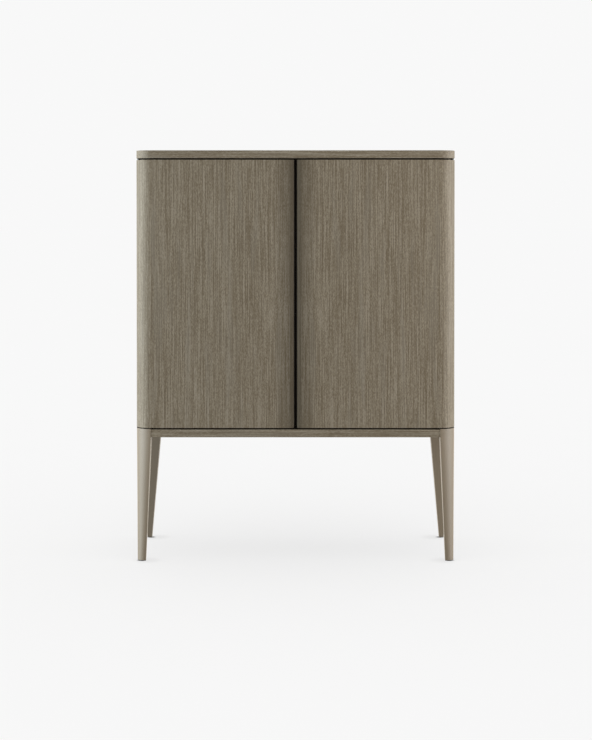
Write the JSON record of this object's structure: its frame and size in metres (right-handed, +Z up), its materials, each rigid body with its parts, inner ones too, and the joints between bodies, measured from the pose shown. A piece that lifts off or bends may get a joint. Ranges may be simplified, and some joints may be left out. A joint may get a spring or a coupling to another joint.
{
  "type": "bar cabinet",
  "caption": "Straight bar cabinet with rounded corners on tapered legs, wrap-round doors with racks, and a fold-out shelf inside.",
  "frame": {"origin": "on the floor under the middle of the cabinet", "axes": "+Z up, the doors face -Y, +X to the right seen from the front"},
  "size_m": [1.05, 0.45, 1.3495],
  "materials": {
    "oak_veneer": "grey-brown stained oak veneer, matt lacquer, fine straight grain",
    "leg_lacquer": "solid wood in taupe satin lacquer",
    "inner_oak": "grey-brown stained oak veneer, matt lacquer",
    "black_stain": "black stained, matt",
    "mirror_glass": "polished, smoked",
    "brass": "brushed bronze-toned brass",
    "steel": "satin",
    "seal_rubber": "matt black",
    "black_plastic": "matt"
  },
  "bodies": {
    "cabinet": {"adjustable_shelf": "inner_oak", "back_panel": "oak_veneer", "base_spacer": "black_stain", "bottle_cradle_high_front": "inner_oak", "bottle_cradle_high_rear": "inner_oak", "bottle_cradle_low_front": "inner_oak", "bottle_cradle_low_rear": "inner_oak", "carcass_bottom": "inner_oak", "carcass_top": "inner_oak", "corner_blocks": "inner_oak", "deck": "inner_oak", "divider": "inner_oak", "door_magnets": "steel", "flap_catches": "black_plastic", "flap_hinge_pin": "steel", "foot_glides": "black_plastic", "front_rail": "oak_veneer", "left_rail": "oak_veneer", "leg_front_left": "leg_lacquer", "leg_front_right": "leg_lacquer", "leg_rear_left": "leg_lacquer", "leg_rear_right": "leg_lacquer", "niche_mirror": "mirror_glass", "pivot_plates_high": "steel", "pivot_plates_low": "steel", "rear_rail": "oak_veneer", "right_rail": "oak_veneer", "shelf_pegs": "steel", "side_panel_left": "oak_veneer", "side_panel_right": "oak_veneer", "stemware_rail_1": "brass", "stemware_rail_2": "brass", "stemware_rail_3": "brass", "stemware_rail_4": "brass", "top_panel": "oak_veneer", "top_spacer": "black_stain", "upper_shelf": "inner_oak", "worktop": "inner_oak", "worktop_hinge_leaf": "brass"},
    "door_left": {"door_left": "oak_veneer", "door_seal_left": "seal_rubber", "door_strike_left": "steel", "high_gallery_left": "brass", "high_tray_left": "brass", "low_gallery_left": "brass", "low_tray_left": "brass", "pivot_bushes_left": "steel"},
    "door_right": {"door_right": "oak_veneer", "door_seal_right": "seal_rubber", "door_strike_right": "steel", "high_gallery_right": "brass", "high_tray_right": "brass", "low_gallery_right": "brass", "low_tray_right": "brass", "pivot_bushes_right": "steel"},
    "shelf_leaf": {"flap_hinge_leaf": "brass", "flap_pull": "brass", "flap_strike_plates": "steel", "fold_out_shelf": "inner_oak"}
  },
  "joints": [
    {"name": "door_left_swing", "type": "hinge", "parent": "cabinet", "child": "door_left", "pos_m": [-0.518, -0.164, 0.8786], "axis": [0, 0, -1], "range_deg": [0, 105]},
    {"name": "door_right_swing", "type": "hinge", "parent": "cabinet", "child": "door_right", "pos_m": [0.518, -0.164, 0.8786], "axis": [0, 0, 1], "range_deg": [0, 105]},
    {"name": "shelf_fold", "type": "hinge", "parent": "cabinet", "child": "shelf_leaf", "pos_m": [0, 0.055, 0.8], "axis": [1, 0, 0], "range_deg": [0, 90]}
  ]
}
